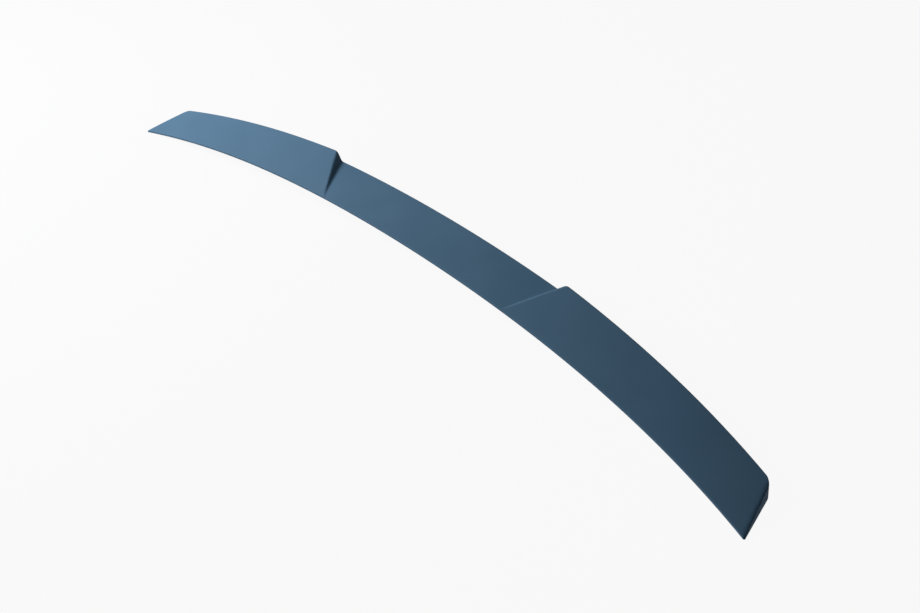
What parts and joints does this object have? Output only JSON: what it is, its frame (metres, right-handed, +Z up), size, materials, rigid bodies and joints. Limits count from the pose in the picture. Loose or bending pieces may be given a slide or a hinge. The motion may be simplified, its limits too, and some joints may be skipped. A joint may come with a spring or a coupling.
{
  "type": "rear lip spoiler",
  "caption": "Stick-on rear lip spoiler: a long thin blade curved to the roof edge, with a low middle that steps up to a taller wing on each side.",
  "frame": {"origin": "middle of the leading edge, on the face that is bonded to the car", "axes": "+X across the car, +Y to the rear, towards the raised lip, +Z up, away from the car"},
  "size_m": [1.1192, 0.1332, 0.0536],
  "materials": {
    "body": "satin slate-blue primer on moulded plastic"
  },
  "bodies": {
    "root": {"spoiler_body": "body"}
  },
  "joints": []
}
